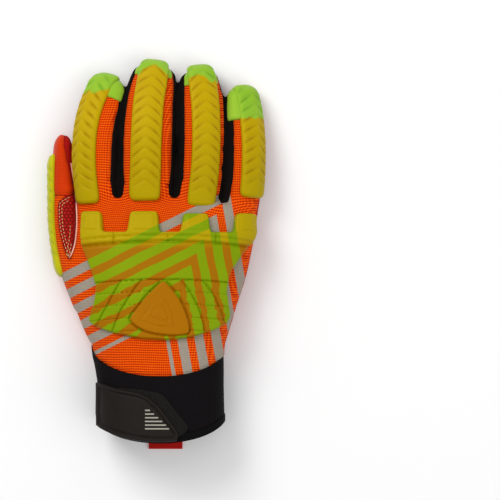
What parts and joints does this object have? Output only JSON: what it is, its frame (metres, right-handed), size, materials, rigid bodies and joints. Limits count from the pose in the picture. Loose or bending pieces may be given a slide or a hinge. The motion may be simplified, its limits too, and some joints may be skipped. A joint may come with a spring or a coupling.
{
  "type": "impact-resistant work glove",
  "caption": "Cut-resistant rigger glove for the right hand, with moulded knuckle and finger guards, a strapped cuff and a pull tab.",
  "frame": {"origin": "middle of the bounding box's underside, on the surface the glove lies on", "axes": "+X from the thumb to the little finger, +Y towards the fingertips, +Z out of the back of the hand"},
  "size_m": [0.15, 0.2692, 0.06],
  "materials": {
    "orange_knit": "ribbed high-visibility knit",
    "red_suede": "matte microfibre suede",
    "orange_film": "film-faced knit with reflective stripes",
    "black_knit": "fine stretch knit",
    "red_grip": "honeycomb printed grip coating",
    "touch_cloth": "smooth touch-screen fingertip cloth",
    "guard_rubber": "translucent lime moulded rubber, satin",
    "neoprene": "neoprene sleeve with knit face",
    "binding": "folded edge binding",
    "hook_cloth": "hook and loop pile",
    "strap_rubber": "smooth moulded strap, satin",
    "webbing": "woven webbing"
  },
  "bodies": {
    "root": {"back_panel": "orange_knit", "palm_panel": "red_suede", "thumb_cap": "orange_film", "gusset_index_middle": "black_knit", "gusset_middle_ring": "black_knit", "gusset_ring_little": "black_knit", "palm_patch": "red_grip", "web_patch": "red_grip", "touch_tip": "touch_cloth", "knuckle_guard": "guard_rubber", "guard_index": "guard_rubber", "guard_middle": "guard_rubber", "guard_ring": "guard_rubber", "guard_little": "guard_rubber", "guard_thumb": "guard_rubber", "cuff": "neoprene", "cuff_binding": "binding", "hook_pad": "hook_cloth", "wrist_strap": "strap_rubber", "pull_tab": "webbing"}
  },
  "joints": []
}
